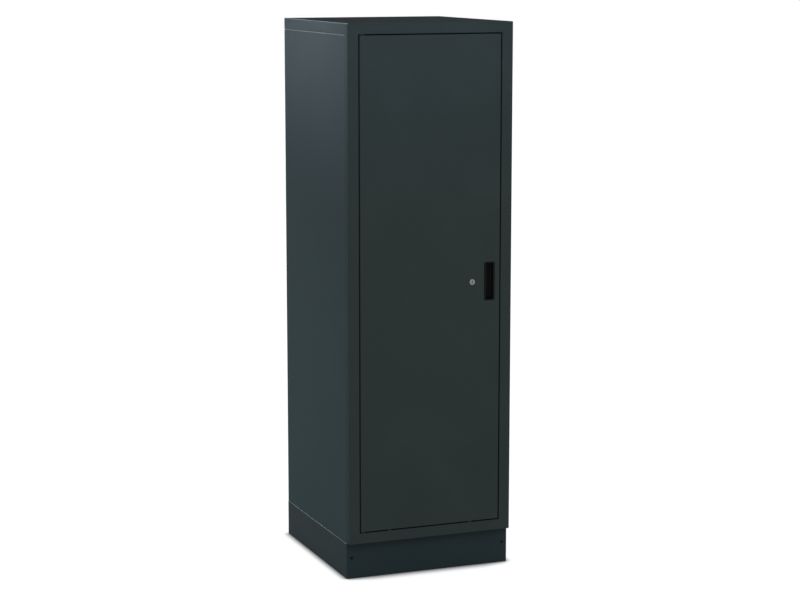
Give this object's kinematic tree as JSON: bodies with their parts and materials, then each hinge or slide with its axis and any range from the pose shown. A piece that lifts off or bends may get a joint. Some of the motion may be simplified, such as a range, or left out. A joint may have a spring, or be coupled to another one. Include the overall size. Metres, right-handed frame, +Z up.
{
  "type": "workshop storage locker",
  "caption": "Tall steel workshop locker on a recessed plinth, with an inset hinged door, recessed pull, key lock driving locking rods, and adjustable shelves inside.",
  "frame": {"origin": "on the floor, under the centre of the locker's body", "axes": "+Z up, -Y out of the door's front, +X to the right of someone facing the door"},
  "size_m": [0.632, 0.69, 2],
  "materials": {
    "body_paint": "satin powder coat",
    "front_paint": "satin powder coat",
    "plinth_paint": "satin powder coat",
    "galvanized": "galvanised sheet",
    "zinc": "zinc plated",
    "nickel": "nickel plated",
    "black_oxide": "black oxide",
    "black_plastic": "fine texture",
    "nylon": "matt",
    "rubber": "matt"
  },
  "bodies": {
    "cabinet": {"left_side_panel": "body_paint", "right_side_panel": "body_paint", "top_cap": "body_paint", "back_panel": "body_paint", "floor_tray": "body_paint", "left_stile": "front_paint", "right_stile": "front_paint", "top_rail": "front_paint", "bottom_rail": "front_paint", "plinth_left": "plinth_paint", "plinth_right": "plinth_paint", "plinth_front": "plinth_paint", "plinth_back": "plinth_paint", "upright_front_left": "galvanized", "upright_front_right": "galvanized", "upright_rear_left": "galvanized", "upright_rear_right": "galvanized", "shelf_1": "galvanized", "shelf_2": "galvanized", "shelf_3": "galvanized", "shelf_4": "galvanized", "clip_1_front_left": "zinc", "clip_1_front_right": "zinc", "clip_1_rear_left": "zinc", "clip_1_rear_right": "zinc", "clip_2_front_left": "zinc", "clip_2_front_right": "zinc", "clip_2_rear_left": "zinc", "clip_2_rear_right": "zinc", "clip_3_front_left": "zinc", "clip_3_front_right": "zinc", "clip_3_rear_left": "zinc", "clip_3_rear_right": "zinc", "clip_4_front_left": "zinc", "clip_4_front_right": "zinc", "clip_4_rear_left": "zinc", "clip_4_rear_right": "zinc", "hinge_pin_top": "zinc", "hinge_pin_bottom": "zinc", "plinth_screw_left": "black_oxide", "plinth_screw_right": "black_oxide", "door_pad_left": "nylon", "door_pad_right": "nylon", "door_bumper_top": "rubber", "door_bumper_bottom": "rubber"},
    "door": {"door_pan": "front_paint", "door_stiffener": "front_paint", "pull_cup": "black_plastic", "hinge_bush_top": "nylon", "hinge_bush_bottom": "nylon", "lock_barrel": "nickel", "lock_nut": "zinc", "rod_guide_top": "black_plastic", "rod_guide_bottom": "black_plastic"},
    "lock_core": {"lock_plug": "nickel", "lock_cam": "zinc", "cam_screw": "zinc"},
    "upper_rod": {"upper_rod": "zinc"},
    "lower_rod": {"lower_rod": "zinc"}
  },
  "joints": [
    {"name": "door_hinge", "type": "hinge", "parent": "cabinet", "child": "door", "pos_m": [-0.26, -0.335, 1.0665], "axis": [0, 0, -1], "range_deg": [0, 110]},
    {"name": "lock_turn", "type": "hinge", "parent": "door", "child": "lock_core", "pos_m": [0.161, -0.344, 1.0665], "axis": [0, -1, 0], "range_deg": [0, 90]},
    {"name": "upper_rod_slide", "type": "slide", "parent": "door", "child": "upper_rod", "axis": [0, 0, 1], "range_m": [0, 0.01979]},
    {"name": "lower_rod_slide", "type": "slide", "parent": "door", "child": "lower_rod", "axis": [0, 0, -1], "range_m": [0, 0.01979]}
  ],
  "couplings": [
    {"joint": "lock_turn", "follows": "upper_rod_slide", "rad_per_m": 79.365},
    {"joint": "lower_rod_slide", "follows": "upper_rod_slide", "ratio": 1}
  ]
}
